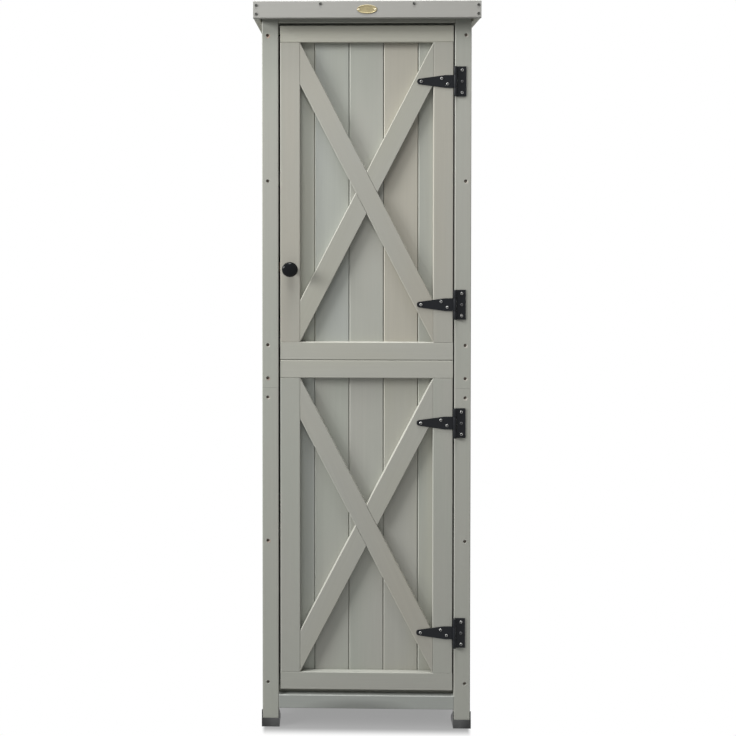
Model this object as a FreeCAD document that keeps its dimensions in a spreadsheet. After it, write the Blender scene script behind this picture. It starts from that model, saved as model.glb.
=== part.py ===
import FreeCAD, Part
import os
import re

import Sketcher

# Tall garden storage cabinet in painted softwood, flat-packed: posts, panels and door come in two halves.
# Millimetres. +X is to the right of the front, -Y is the front, +Z is up.
# The origin lies on the ground below the middle of the roof.

# Sides of the faceted screws and their holes
HEAD_SIDES = 6
SHANK_SIDES = 4
HOLE_SIDES = 6
COUNTERBORE_SIDES = 10

# Driving dimensions, each with its meaning
SIZES = {
    "body_width": (520, "outside width over the posts"),
    "body_depth": (375, "outside depth over the front and back posts"),
    "side_overhang": (19, "roof beyond the body at each side"),
    "front_overhang": (35, "roof beyond the body at the front"),
    "post_width": (41, "width of a post, seen from the front"),
    "post_thick": (18, "thickness of posts, sill, head rail and back rails"),
    "panel_thick": (24, "thickness of a side frame stile"),
    "frame_thick": (15, "thickness of rails and braces that lie on planks"),
    "plank_thick": (9, "thickness of a tongue-and-groove plank"),
    "edge_ease": (1.4, "chamfer on the long edges of a board"),
    "sill_bottom": (46, "ground to the underside of sill and bottom rails"),
    "sill_height": (34, "height of the sill"),
    "sill_gap": (14.2, "sill to the bottom of the door"),
    "door_lower_half": (828.9, "height of the lower half of the door"),
    "door_upper_half": (833.2, "height of the upper half of the door"),
    "head_gap": (6, "top of the door to the head rail"),
    "post_seam_drop": (69.1, "seam of the door to the joint between lower and upper posts"),
    "seam_gap": (0.8, "hairline between two halves"),
    "latch_gap": (4.5, "door to the left post"),
    "hinge_gap": (3.5, "door to the right post"),
    "door_stile": (49.6, "width of a door stile"),
    "door_rail": (44.5, "height of the three lower door rails"),
    "door_top_rail": (42, "height of the top rail of the door"),
    "brace_width": (48, "width of a diagonal brace"),
    "door_plank_count": (5, "planks across the door"),
    "side_plank_count": (4, "planks across a side panel"),
    "back_plank_count": (5, "planks across the back"),
    "plank_gap": (0.5, "gap between neighbouring planks"),
    "tongue": (3.5, "projection of a plank's tongue"),
    "tongue_inset": (3.4, "face of a plank to its tongue"),
    "tongue_thick": (2.6, "thickness of a plank's tongue"),
    "tongue_play": (0.2, "play of a tongue in its groove, at each side"),
    "vee": (2, "chamfer on the face edges of a plank"),
    "rail_height": (45, "height of side and back rails"),
    "batten_width": (20, "width of battens and floor bearers"),
    "batten_height": (25, "height of battens and floor bearers"),
    "board_thick": (12, "thickness of floor boards and shelf slats"),
    "floor_top": (106, "ground to the top of the floor"),
    "floor_board_count": (4, "boards in the floor"),
    "floor_board_gap": (2, "gap between floor boards"),
    "slat_count": (4, "slats in a shelf"),
    "slat_gap": (12, "gap between shelf slats"),
    "shelf_setback": (60, "front of the body to the front of a shelf"),
    "shelf_low": (470, "ground to the middle of the low shelf's battens"),
    "shelf_middle": (961, "ground to the middle of the middle shelf's battens"),
    "shelf_high": (1370, "ground to the middle of the high shelf's battens"),
    "fascia_drop": (12.5, "underside of the fascia above the top of the door"),
    "fascia_height": (42.4, "height of the front fascia"),
    "roof_lip": (3, "roof boards below the top edge of the fascia"),
    "roof_board_count": (4, "boards in the roof"),
    "roof_board_gap": (2, "gap between roof boards"),
    "roof_angle": (2, "fall of the roof towards the back, in degrees"),
    "felt_thick": (2, "thickness of the roofing felt"),
    "stop_height": (40, "height of the head stop"),
    "cap_wall": (1.6, "wall of a foot cap"),
    "cap_floor": (3, "base of a foot cap"),
    "cap_height": (43, "height of a foot cap's side walls behind its lip"),
    "cap_rear": (8, "height of a foot cap's rear wall"),
    "cap_lip": (21.5, "height of a foot cap's front lip"),
    "cap_fit": (0.3, "clearance between a foot cap and the leg"),
    "touch_gap": (0.3, "gap at which moving faces meet"),
    "screw_inset": (14, "outer edge of a post to its screws"),
    "screw_spread": (24, "post joint to the screws beside it"),
    "screw_low": (112, "ground to the lowest post screw"),
    "screw_drop": (37, "underside of the fascia to the highest post screw"),
    "counterbore_radius": (4.2, "radius of the recess over a post screw"),
    "counterbore_depth": (5, "depth of the recess over a post screw"),
    "hinge_top_inset": (139.3, "top of the door to the middle of the top hinge"),
    "hinge_second_rise": (139.9, "seam of the door to the middle of the hinge above it"),
    "hinge_third_drop": (155.6, "seam of the door to the middle of the hinge below it"),
    "hinge_bottom_inset": (146.8, "bottom of the door to the middle of the bottom hinge"),
    "leaf_thick": (2, "thickness of the hinge leaves"),
    "pin_radius": (2, "radius of a hinge pin"),
    "pin_clearance": (0.05, "radial clearance of a hinge pin"),
    "knuckle_radius": (4.2, "outside radius of a hinge knuckle"),
    "pin_offset": (0.6, "hinge axis beyond the edge of the right post"),
    "plate_height": (74, "height of a hinge plate"),
    "plate_reach": (27, "hinge axis to the outer edge of the plate"),
    "strap_height": (31.5, "height of a strap at its knuckle"),
    "strap_reach": (94.5, "hinge axis to the tip of the strap"),
    "strap_shoulder": (25, "hinge axis to where the strap starts to taper"),
    "strap_tip_radius": (7.1, "radius of the strap's tip"),
    "hole_radius": (2.3, "radius of a screw hole in a hinge"),
    "pan_radius": (3.7, "radius of a round screw head"),
    "pan_height": (1.8, "height of a round screw head"),
    "shank_radius": (1.8, "radius of a screw shank"),
    "hinge_screw": (16, "length of a hinge screw's shank"),
    "post_screw": (26, "length of a post screw's shank"),
    "knob_radius": (20, "radius of the knob"),
    "knob_neck": (9, "radius of the knob's neck"),
    "knob_face": (14, "radius of the flat on the knob's front"),
    "knob_head": (15, "thickness of the knob's head"),
    "knob_rim": (7, "width of the knob's rim"),
    "knob_reach": (30, "projection of the knob"),
    "knob_rise": (229.4, "seam of the door to the middle of knob and catch"),
    "strike_width": (16, "width of the strike plate"),
    "strike_height": (36, "height of the strike plate"),
    "catch_width": (38, "width of the magnetic catch"),
    "catch_depth": (12, "depth of the magnetic catch"),
    "catch_height": (24, "height of the magnetic catch"),
    "plate_long": (51, "long axis of the oval plate"),
    "plate_short": (26.5, "short axis of the oval plate"),
    "sheet_thick": (1.5, "thickness of strike, oval and joining plates"),
}

doc = FreeCAD.newDocument("GardenCabinet")
sheet = doc.addObject("Spreadsheet::Sheet", "Sizes")
for row, (alias, (value, meaning)) in enumerate(SIZES.items(), 1):
    sheet.set("A%d" % row, meaning)
    sheet.set("B%d" % row, str(value))
    sheet.setAlias("B%d" % row, alias)
layout = doc.addObject("App::FeaturePython", "Layout")
reading = doc.addObject("App::FeaturePython", "Reading")
reading.addProperty("App::PropertyFloat", "Result", "Derived")
doc.recompute()

owners = {alias: "Sizes" for alias in SIZES}


def bind(formula):
    """The formula with each named size given its owner, as the document's expressions need it."""
    return re.sub(r"[a-z][a-z_]+", lambda word: owner_of(word.group()), formula)


def owner_of(word):
    return "%s.%s" % (owners[word], word) if word in owners else word


def derive(name, formula):
    """A place or size that follows from the driving dimensions."""
    layout.addProperty("App::PropertyFloat", name, "Derived")
    layout.setExpression(name, bind(formula))
    layout.recompute()
    owners[name] = "Layout"


# Places that follow from the sizes, across the cabinet
derive("half_body", "body_width / 2")
derive("half_roof", "half_body + side_overhang")
derive("opening_right", "half_body - post_width")
derive("door_left", "latch_gap - opening_right")
derive("door_width", "opening_right - hinge_gap - door_left")
derive("door_right", "door_left + door_width")
derive("inner_right", "half_body - panel_thick")
derive("pin_x", "opening_right + pin_offset")

# From front to back
derive("roof_depth", "front_overhang + body_depth + frame_thick")
derive("roof_front", "0 - roof_depth / 2")
derive("deck_front", "roof_front + frame_thick")
derive("body_front", "roof_front + front_overhang")
derive("body_back", "body_front + body_depth")
derive("leg_stile", "post_width - post_thick")
derive("front_inside", "body_front + post_thick")
derive("stile_inside", "body_front + post_width")
derive("back_inside", "body_back - post_thick")
derive("room_back", "back_inside - plank_thick")
derive("side_span", "body_depth - 2 * post_width")
derive("door_thick", "frame_thick + plank_thick")
derive("door_back", "body_front + door_thick")
derive("side_rail_thick", "panel_thick - plank_thick")
derive("stop_front", "door_back + touch_gap")
derive("pin_y", "body_front - knuckle_radius - touch_gap")

# From the ground up
derive("sill_top", "sill_bottom + sill_height")
derive("door_bottom", "sill_top + sill_gap")
derive("door_seam", "door_bottom + door_lower_half")
derive("door_top", "door_seam + door_upper_half")
derive("post_seam", "door_seam - post_seam_drop")
derive("knob_height", "door_seam + knob_rise")
derive("hinge_top", "door_top - hinge_top_inset")
derive("hinge_second", "door_seam + hinge_second_rise")
derive("hinge_third", "door_seam - hinge_third_drop")
derive("hinge_bottom", "door_bottom + hinge_bottom_inset")
derive("head_bottom", "door_top + head_gap")
derive("fascia_bottom", "door_top + fascia_drop")
derive("roof_top", "fascia_bottom + fascia_height")
derive("fall", "tan(roof_angle * 1deg)")
derive("deck_top", "roof_top - roof_lip")
derive("deck_under", "deck_top - plank_thick")
derive("deck_depth", "body_back - deck_front")
derive("plank_top", "deck_under - fall * deck_depth - touch_gap")


def under_roof(y):
    """Height of the roof boards' underside at a distance y behind the origin."""
    return "(deck_under - fall * (%s - deck_front))" % y


def value_of(formula):
    """The number that a formula gives now, read through a property bound to it."""
    reading.setExpression("Result", bind(formula))
    reading.recompute()
    return reading.Result


def attached_sketch(body, plane):
    """A sketch on one of the body's own origin planes."""
    sketch = body.newObject("Sketcher::SketchObject", body.Name + plane)
    support = [feature for feature in body.Origin.OriginFeatures if feature.Role == plane + "_Plane"]
    sketch.AttachmentSupport = (support[0], [""])
    sketch.MapMode = "FlatFace"
    return sketch


def fix_point(sketch, shape, end, point, name):
    """Ties one point of a sketch to the origin by two named distances."""
    for kind, formula in zip(("DistanceX", "DistanceY"), point):
        row = sketch.addConstraint(Sketcher.Constraint(kind, -1, 1, shape, end, value_of(formula)))
        label = name + kind[-1]
        sketch.renameConstraint(row, label)
        sketch.setExpression("Constraints." + label, bind(formula))


def draw_outline(sketch, points):
    """A closed outline of straight lines through the given points."""
    corners = [FreeCAD.Vector(value_of(u), value_of(v), 0) for u, v in points]
    first = sketch.GeometryCount
    count = len(points)
    for corner, following in zip(corners, corners[1:] + corners[:1]):
        sketch.addGeometry(Part.LineSegment(corner, following), False)
    for step, point in enumerate(points):
        following = first + (step + 1) % count
        sketch.addConstraint(Sketcher.Constraint("Coincident", first + step, 2, following, 1))
        fix_point(sketch, first + step, 1, point, "p%d" % (first + step))


def draw_circles(sketch, centres, radius):
    for u, v in centres:
        centre = FreeCAD.Vector(value_of(u), value_of(v), 0)
        circle = Part.Circle(centre, FreeCAD.Vector(0, 0, 1), value_of(radius))
        shape = sketch.addGeometry(circle, False)
        row = sketch.addConstraint(Sketcher.Constraint("Radius", shape, value_of(radius)))
        sketch.renameConstraint(row, "r%d" % shape)
        sketch.setExpression("Constraints.r%d" % shape, bind(radius))
        fix_point(sketch, shape, 3, (u, v), "c%d" % shape)


def place(body, at, turn=None):
    """Puts a body at a bound place. A turn is an axis and an angle in degrees."""
    if turn:
        body.Placement = FreeCAD.Placement(FreeCAD.Vector(), FreeCAD.Rotation(*turn))
    for letter, formula in zip("xyz", at):
        body.setExpression("Placement.Base." + letter, bind(formula))
    return body


def add_pad(body, plane, points, depth, reverse=False):
    sketch = attached_sketch(body, plane)
    draw_outline(sketch, points)
    pad = body.newObject("PartDesign::Pad", body.Name + "Pad")
    pad.Profile = sketch
    pad.Reversed = reverse
    pad.setExpression("Length", bind(depth))
    return pad


def polygon(sides, radius, centre=("0", "0")):
    """The corners of a regular polygon about a centre."""
    angles = [360 * corner / sides for corner in range(sides)]
    return [("%s + %s * cos(%g * 1deg)" % (centre[0], radius, angle),
             "%s + %s * sin(%g * 1deg)" % (centre[1], radius, angle)) for angle in angles]


def add_holes(body, plane, centres, radius, sides, depth):
    """Screw holes of a few sides each, which go into the body from one of its origin planes."""
    sketch = attached_sketch(body, plane)
    for centre in centres:
        draw_outline(sketch, polygon(sides, radius, centre))
    pocket = body.newObject("PartDesign::Pocket", body.Name + "Holes")
    pocket.Profile = sketch
    pocket.setExpression("Length", bind(depth))
    body.Tip = pocket


def ease_edges(body, feature, direction):
    """Chamfers the long edges of a board, those that run along the given unit direction."""
    doc.recompute()
    edges = []
    for number, edge in enumerate(feature.Shape.Edges, 1):
        along = edge.tangentAt(edge.FirstParameter)
        if abs(along.dot(direction)) > 0.999:
            edges.append("Edge%d" % number)
    chamfer = body.newObject("PartDesign::Chamfer", body.Name + "Eased")
    chamfer.Base = (feature, edges)
    chamfer.setExpression("Size", bind("edge_ease"))
    body.Tip = chamfer
    return chamfer


DIRECTIONS = {
    "X": FreeCAD.Vector(1, 0, 0),
    "Y": FreeCAD.Vector(0, 1, 0),
    "Z": FreeCAD.Vector(0, 0, 1),
}


def prism(name, plane, points, depth, at, grain=None):
    """A body of one outline and one thickness, with eased edges along its grain.

    The grain is the letter of an axis, or a direction.
    """
    body = doc.addObject("PartDesign::Body", name)
    pad = add_pad(body, plane, points, depth)
    if grain:
        ease_edges(body, pad, DIRECTIONS[grain] if isinstance(grain, str) else grain)
    return place(body, at)


def board(name, size, at, grain=None):
    """A rectangular piece: its size and its lowest corner."""
    across, deep, tall = size
    corners = [("0", "0"), (across, "0"), (across, deep), ("0", deep)]
    return prism(name, "XY", corners, tall, at, grain)


def group(label, members):
    """Like pieces that share one name, kept as separate solids."""
    compound = doc.addObject("Part::Compound", label)
    compound.Links = members
    return compound


nodes = []


def keep(label, item):
    item.Label = label
    nodes.append(item)
    return item


def plank_set(name, along, pitch, count, length, at, face):
    """Tongue-and-groove planks side by side, their chamfered face towards the given side.

    along is the axis that the row runs on. face is 1 when the chamfers are on the low side of the planks'
    thickness and -1 when they are on the high side. The last tongue is sawn off.
    """
    width = "(%s - plank_gap)" % pitch
    depths = ["0", "vee", "tongue_inset", "tongue_inset - tongue_play", "tongue_inset + tongue_thick",
              "tongue_inset + tongue_thick + tongue_play", "plank_thick"]
    if face < 0:
        depths = ["plank_thick - (%s)" % depth for depth in depths]
    front, vee_end, tongue_near, groove_near, tongue_far, groove_far, rear = depths
    profile = [
        ("vee", front), (width + " - vee", front), (width, vee_end),
        (width, tongue_near), (width + " + tongue", tongue_near),
        (width + " + tongue", tongue_far), (width, tongue_far),
        (width, rear), ("0", rear),
        ("0", groove_far), ("tongue + plank_gap", groove_far),
        ("tongue + plank_gap", groove_near), ("0", groove_near),
        ("0", vee_end),
    ]
    if along == "Y":
        profile = [(v, u) for u, v in profile]
    body = doc.addObject("PartDesign::Body", name)
    pad = add_pad(body, "XY", profile, length)
    pattern = body.newObject("PartDesign::LinearPattern", name + "Row")
    pattern.Originals = [pad]
    axis = [feature for feature in body.Origin.OriginFeatures if feature.Role == along + "_Axis"]
    pattern.Direction = (axis[0], [""])
    pattern.setExpression("Length", bind("(%s) * (%s - 1)" % (pitch, count)))
    pattern.setExpression("Occurrences", bind(count))
    body.Tip = pattern
    edge = "(%s) * (%s) - plank_gap" % (pitch, count)
    waste = [(edge, "0 - vee"), (edge + " + 2 * tongue", "0 - vee"),
             (edge + " + 2 * tongue", "plank_thick + vee"), (edge, "plank_thick + vee")]
    if along == "Y":
        waste = [(v, u) for u, v in waste]
    sketch = attached_sketch(body, "XY")
    draw_outline(sketch, waste)
    cut = body.newObject("PartDesign::Pocket", name + "Sawn")
    cut.Profile = sketch
    cut.Reversed = True
    cut.setExpression("Length", bind(length))
    body.Tip = cut
    return place(body, at)


def turned(name, profile, at, turn=None):
    """A round piece: a profile of radius and height, turned about its own Z axis."""
    body = doc.addObject("PartDesign::Body", name)
    sketch = attached_sketch(body, "XZ")
    draw_outline(sketch, profile)
    revolution = body.newObject("PartDesign::Revolution", name + "Turned")
    revolution.Profile = sketch
    revolution.ReferenceAxis = (sketch, ["V_Axis"])
    revolution.Angle = 360
    body.Tip = revolution
    return place(body, at, turn)


TOWARDS_FRONT = (DIRECTIONS["X"], 90)
TOWARDS_BACK = (DIRECTIONS["X"], -90)
TOWARDS_LEFT = (DIRECTIONS["Y"], -90)
TOWARDS_RIGHT = (DIRECTIONS["Y"], 90)


HEAD_TAPER = -30


def screw(name, at, turn, shank):
    """A screw with few faces. Its head rests at the given place and stands out along its turned Z axis."""
    body = doc.addObject("PartDesign::Body", name)
    add_pad(body, "XY", polygon(SHANK_SIDES, "shank_radius"), shank, reverse=True)
    head = add_pad(body, "XY", polygon(HEAD_SIDES, "pan_radius"), "pan_height")
    head.TaperAngle = HEAD_TAPER
    body.Tip = head
    return place(body, at, turn)


# Posts: front and back, in two halves that butt together
POST_SCREWS = {
    "lower": ["screw_low", "shelf_low", "post_seam - screw_spread"],
    "upper": ["post_seam + screw_spread", "shelf_middle", "shelf_high", "fascia_bottom - screw_drop"],
}


def post(name, half, side, front):
    """One half of a post. side is -1 for left and 1 for right."""
    near = "body_front" if front else "back_inside"
    bottom = "cap_floor" if half == "lower" else "post_seam"
    if half == "lower":
        tops = ["post_seam", "post_seam"]
    else:
        tops = [under_roof("(%s + post_thick)" % near), under_roof(near)]
    corners = [("0", "0"), ("post_thick", "0")]
    corners += [(depth, "%s - %s" % (top, bottom)) for depth, top in zip(("post_thick", "0"), tops)]
    left = "0 - half_body" if side < 0 else "opening_right"
    body = prism(name, "YZ", corners, "post_width", (left, near, bottom), "Z")
    hole_x = "screw_inset" if side < 0 else "post_width - screw_inset"
    holes = [(hole_x, "%s - %s" % (height, bottom)) for height in POST_SCREWS[half]]
    if front:
        add_holes(body, "XZ", holes, "counterbore_radius", COUNTERBORE_SIDES, "counterbore_depth")
    return body


def make_posts():
    back_halves = []
    for half in ("lower", "upper"):
        for side, hand in ((-1, "left"), (1, "right")):
            keep("front_post_%s_%s" % (half, hand), post("FrontPost" + half + hand, half, side, True))
            back_halves.append(post("BackPost" + half + hand, half, side, False))
    keep("back_posts", group("BackPosts", back_halves))


# Side panels: solid corner stiles, rails on the outside, planks inside
def side_frame(half, side):
    """The frame of half a side panel: two corner stiles and two rails."""
    hand = "left" if side < 0 else "right"
    stile_x = "0 - half_body" if side < 0 else "inner_right"
    rail_x = "0 - half_body" if side < 0 else "half_body - side_rail_thick"
    stile_bottom = "cap_floor" if half == "lower" else "post_seam"
    pieces = []
    for name, near in (("Front", "front_inside"), ("Rear", "back_inside - leg_stile")):
        if half == "lower":
            tops = ["post_seam", "post_seam"]
        else:
            tops = [under_roof("(%s + leg_stile)" % near), under_roof("(%s)" % near)]
        corners = [("0", "0"), ("leg_stile", "0")]
        corners += [(depth, "%s - %s" % (top, stile_bottom)) for depth, top in zip(("leg_stile", "0"), tops)]
        title = "Stile" + name + half + hand
        pieces.append(prism(title, "YZ", corners, "panel_thick", (stile_x, near, stile_bottom), "Z"))
    if half == "lower":
        rails = [("sill_bottom", None), ("post_seam - rail_height", None)]
    else:
        rails = [("post_seam", None), ("head_bottom - rail_height / 2", "roof")]
    for number, (bottom, top) in enumerate(rails, 1):
        if top:
            back = "%s - (%s)" % (under_roof("(stile_inside + side_span)"), bottom)
            front = "%s - (%s)" % (under_roof("stile_inside"), bottom)
        else:
            back = front = "rail_height"
        corners = [("0", "0"), ("side_span", "0"), ("side_span", back), ("0", front)]
        title = "SideRail%d" % number + half + hand
        pieces.append(prism(title, "YZ", corners, "side_rail_thick", (rail_x, "stile_inside", bottom), "Y"))
    return group("SideFrame" + half + hand, pieces)


def side_planks(side):
    """Lower and upper planks of one side, between the corner stiles."""
    hand = "left" if side < 0 else "right"
    plank_x = "0 - inner_right - plank_thick" if side < 0 else "inner_right"
    face = 1 if side < 0 else -1
    pitch = "side_span / side_plank_count"
    rows = []
    for half, bottom, top in (("lower", "sill_bottom", "post_seam - seam_gap"),
                              ("upper", "post_seam", "plank_top")):
        length = "%s - %s" % (top, bottom)
        rows.append(plank_set("SidePlanks" + half + hand, "Y", pitch, "side_plank_count", length,
                              (plank_x, "stile_inside + plank_gap / 2", bottom), face))
    return group("SidePlanks" + hand, rows)


def make_sides():
    for half in ("lower", "upper"):
        for side, hand in ((-1, "left"), (1, "right")):
            keep("side_frame_%s_%s" % (half, hand), side_frame(half, side))
    for side, hand in ((-1, "left"), (1, "right")):
        keep("side_planks_" + hand, side_planks(side))


# Back: rails between the posts, planks in front of them
def make_back():
    rails = []
    for number, bottom in enumerate(("sill_bottom", "post_seam - rail_height", "post_seam"), 1):
        rails.append(board("BackRail%d" % number, ("2 * opening_right", "post_thick", "rail_height"),
                           ("0 - opening_right", "back_inside", bottom), "X"))
    bottom = "(head_bottom - rail_height / 2)"
    corners = [("0", "0"), ("post_thick", "0"),
               ("post_thick", "%s - %s" % (under_roof("body_back"), bottom)),
               ("0", "%s - %s" % (under_roof("back_inside"), bottom))]
    rails.append(prism("BackRail4", "YZ", corners, "2 * opening_right",
                       ("0 - opening_right", "back_inside", bottom), "X"))
    keep("back_rails", group("BackRails", rails))
    pitch = "2 * inner_right / back_plank_count"
    rows = []
    for half, bottom, top in (("Lower", "sill_bottom", "post_seam - seam_gap"),
                              ("Upper", "post_seam", "plank_top")):
        rows.append(plank_set("BackPlanks" + half, "X", pitch, "back_plank_count", "%s - %s" % (top, bottom),
                              ("plank_gap / 2 - inner_right", "room_back", bottom), -1))
    keep("back_planks", group("BackPlanks", rows))


# Sill and head rail between the posts, and the batten that the door closes against
def make_sill_and_head():
    keep("sill", board("Sill", ("2 * opening_right", "post_thick", "sill_height"),
                       ("0 - opening_right", "body_front", "sill_bottom"), "X"))
    corners = [("0", "0"), ("post_thick", "0"),
               ("post_thick", under_roof("front_inside") + " - head_bottom"),
               ("0", under_roof("body_front") + " - head_bottom")]
    keep("head_rail", prism("HeadRail", "YZ", corners, "2 * opening_right",
                            ("0 - opening_right", "body_front", "head_bottom"), "X"))
    keep("head_stop", board("HeadStop", ("2 * inner_right", "frame_thick", "stop_height"),
                            ("0 - inner_right", "stop_front", "door_top - stop_height / 2"), "X"))


# Floor, shelves and the battens that carry them
SHELVES = {"low": "shelf_low", "middle": "shelf_middle", "high": "shelf_high"}


def make_floor_and_shelves():
    battens = []
    floor_under = "floor_top - board_thick"
    levels = ["(%s - batten_height / 2)" % height for height in SHELVES.values()]
    levels.append("(%s - batten_height)" % floor_under)
    for number, bottom in enumerate(levels, 1):
        for hand, left in (("Left", "0 - inner_right"), ("Right", "inner_right - batten_width")):
            size = ("batten_width", "room_back - stile_inside", "batten_height")
            battens.append(board("Batten%s%d" % (hand, number), size, (left, "stile_inside", bottom), "Y"))
    for hand, near, across in (("Front", "front_inside", "inner_right"),
                               ("Rear", "room_back - batten_width", "(inner_right - batten_width)")):
        size = ("2 * " + across, "batten_width", "batten_height")
        battens.append(board("Bearer" + hand, size, ("0 - " + across, near, levels[-1]), "X"))
    keep("battens", group("Battens", battens))
    pitch = "((room_back - stop_front + floor_board_gap) / floor_board_count)"
    boards = []
    for number in range(SIZES["floor_board_count"][0]):
        boards.append(board("FloorBoard%d" % (number + 1),
                            ("2 * inner_right", pitch + " - floor_board_gap", "board_thick"),
                            ("0 - inner_right", "stop_front + %d * %s" % (number, pitch), floor_under), "X"))
    keep("floor_boards", group("FloorBoards", boards))
    pitch = "((room_back - body_front - shelf_setback + slat_gap) / slat_count)"
    for level, height in SHELVES.items():
        slats = []
        for number in range(SIZES["slat_count"][0]):
            near = "body_front + shelf_setback + %d * %s" % (number, pitch)
            slats.append(board("Slat%s%d" % (level, number + 1),
                               ("2 * inner_right", pitch + " - slat_gap", "board_thick"),
                               ("0 - inner_right", near, height + " + batten_height / 2"), "X"))
        keep("shelf_" + level, group("Shelf" + level, slats))


# Roof: fascia, side boards, back board, sloping boards and felt
def sloping(name, front, back, top, thick, left, width, grain):
    """A piece that follows the roof's fall, between two distances from the front."""
    corners = []
    for y, sign in ((front, 1), (back, 1), (back, 0), (front, 0)):
        rise = "%s - fall * (%s - deck_front)" % (top, y)
        corners.append((y, rise + (" - " + thick if sign else "")))
    return prism(name, "YZ", corners, width, (left, "0", "0"), grain)


def make_roof():
    fascia = board("Fascia", ("2 * half_roof", "frame_thick", "fascia_height"),
                   ("0 - half_roof", "roof_front", "fascia_bottom"), "X")
    keep("roof_fascia", fascia)
    sides = []
    for hand, left in (("Left", "0 - half_roof"), ("Right", "half_roof - frame_thick")):
        corners = [("deck_front", "fascia_bottom"), ("body_back", "fascia_bottom"),
                   ("body_back", "roof_top - fall * deck_depth"), ("deck_front", "roof_top")]
        sides.append(prism("RoofSide" + hand, "YZ", corners, "frame_thick", (left, "0", "0"), "Y"))
    keep("roof_side_boards", group("RoofSides", sides))
    keep("roof_back_board", board("RoofBack",
                                  ("2 * half_roof", "frame_thick", "fascia_height - fall * deck_depth"),
                                  ("0 - half_roof", "body_back", "fascia_bottom"), "X"))
    width = "2 * (half_roof - frame_thick)"
    left = "frame_thick - half_roof"
    boards = []
    pitch = "((deck_depth + roof_board_gap) / roof_board_count)"
    for number in range(SIZES["roof_board_count"][0]):
        near = "(deck_front + %d * %s)" % (number, pitch)
        far = "(%s + %s - roof_board_gap)" % (near, pitch)
        boards.append(sloping("RoofBoard%d" % (number + 1), near, far, "deck_top", "plank_thick",
                              left, width, None))
    keep("roof_boards", group("RoofBoards", boards))
    keep("roof_felt", sloping("RoofFelt", "deck_front", "body_back", "(deck_top + felt_thick)", "felt_thick",
                              left, width, None))


# Oval plate on the fascia, bare
def make_oval_plate():
    oval = doc.addObject("PartDesign::Body", "OvalPlate")
    sketch = attached_sketch(oval, "XZ")
    ellipse = Part.Ellipse(FreeCAD.Vector(), value_of("plate_long / 2"), value_of("plate_short / 2"))
    sketch.addGeometry(ellipse, False)
    sketch.exposeInternalGeometry(0)
    sketch.addConstraint(Sketcher.Constraint("Coincident", 0, 3, -1, 1))
    for number, (letter, size) in enumerate((("X", "plate_long"), ("Y", "plate_short")), 1):
        row = sketch.addConstraint(Sketcher.Constraint("Distance" + letter, number, 1, number, 2,
                                                       value_of(size)))
        sketch.renameConstraint(row, size)
        sketch.setExpression("Constraints." + size, bind(size))
    pad = oval.newObject("PartDesign::Pad", "OvalPad")
    pad.Profile = sketch
    pad.setExpression("Length", bind("sheet_thick"))
    oval.Tip = pad
    keep("oval_plate", place(oval, ("0", "roof_front", "fascia_bottom + fascia_height / 2")))


# Foot caps: square cups with a low front lip, and side walls that fall from there to the rear
def foot_cap(name, x, y, turn):
    body = doc.addObject("PartDesign::Body", name)
    half = "(post_width / 2 + cap_fit + cap_wall)"
    depth = "(post_width + 2 * cap_fit + 2 * cap_wall)"
    add_pad(body, "XY", [("0 - " + half, "0"), (half, "0"), (half, depth), ("0 - " + half, depth)],
            "cap_height")
    sketch = attached_sketch(body, "XY")
    sketch.setExpression("AttachmentOffset.Base.z", bind("cap_floor"))
    inner = half + " - cap_wall"
    draw_outline(sketch, [("0 - (%s)" % inner, "cap_wall"), (inner, "cap_wall"),
                          (inner, depth + " - cap_wall"), ("0 - (%s)" % inner, depth + " - cap_wall")])
    hollow = body.newObject("PartDesign::Pocket", name + "Hollow")
    hollow.Profile = sketch
    hollow.Reversed = True
    hollow.setExpression("Length", bind("cap_height"))
    scoop = attached_sketch(body, "YZ")
    draw_outline(scoop, [("0 - cap_wall", "cap_lip"), ("cap_wall + cap_fit", "cap_lip"),
                         ("cap_wall + cap_fit", "cap_height"), (depth, "cap_rear"),
                         (depth + " + cap_wall", "cap_rear"), (depth + " + cap_wall", "cap_height + cap_wall"),
                         ("0 - cap_wall", "cap_height + cap_wall")])
    cut = body.newObject("PartDesign::Pocket", name + "Scoop")
    cut.Profile = scoop
    cut.Midplane = True
    cut.setExpression("Length", bind("2 * " + depth))
    body.Tip = cut
    return place(body, (x, y, "0"), turn)


def make_foot_caps():
    middle = "half_body - post_width / 2"
    for row, y, turn in (("front", "body_front - cap_wall - cap_fit", None),
                         ("back", "body_back + cap_wall + cap_fit", (DIRECTIONS["Z"], 180))):
        pair = [foot_cap("Cap%s%s" % (row, hand), x, y, turn)
                for hand, x in (("Left", "0 - (%s)" % middle), ("Right", middle))]
        keep("foot_caps_" + row, group("Caps" + row, pair))


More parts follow.
